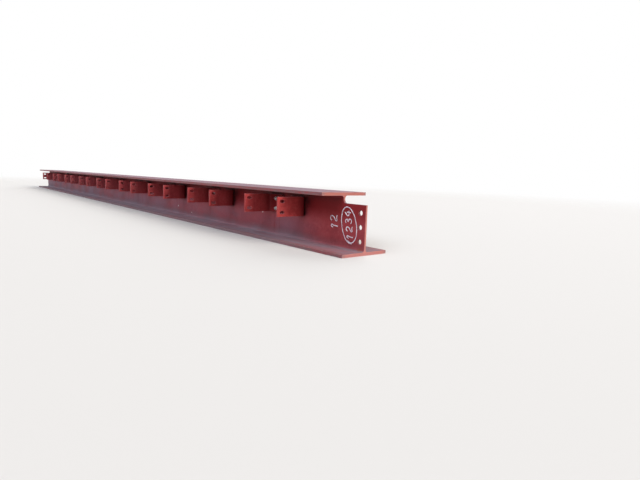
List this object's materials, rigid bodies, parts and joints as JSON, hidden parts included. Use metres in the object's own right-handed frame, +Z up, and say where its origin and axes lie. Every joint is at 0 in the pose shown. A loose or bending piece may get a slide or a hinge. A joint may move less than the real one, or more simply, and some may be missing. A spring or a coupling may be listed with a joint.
{
  "type": "steel universal column",
  "caption": "Rolled steel H-section member in red-oxide primer, notched and drilled at its ends, with folded joist cleats bolted along the web.",
  "frame": {"origin": "on the underside of the lower flange, under the middle of the web, at half the length", "axes": "+X along the member towards its near end, the one closer to the first cleat; +Z up, out of the upper flange; the cleats stand out towards -Y"},
  "size_m": [6.595, 0.2916, 0.2541],
  "materials": {
    "column_primer": "matte",
    "cleat_primer": "matte",
    "zinc": "satin",
    "chalk": "matte"
  },
  "bodies": {
    "root": {"column": "column_primer", "web_cleat_01": "cleat_primer", "web_cleat_02": "cleat_primer", "web_cleat_03": "cleat_primer", "web_cleat_04": "cleat_primer", "web_cleat_05": "cleat_primer", "web_cleat_06": "cleat_primer", "web_cleat_07": "cleat_primer", "web_cleat_08": "cleat_primer", "web_cleat_09": "cleat_primer", "web_cleat_10": "cleat_primer", "web_cleat_11": "cleat_primer", "web_cleat_12": "cleat_primer", "web_cleat_13": "cleat_primer", "web_cleat_14": "cleat_primer", "web_cleat_15": "cleat_primer", "web_cleat_16": "cleat_primer", "web_cleat_17": "cleat_primer", "web_cleat_18": "cleat_primer"}
  },
  "joints": []
}
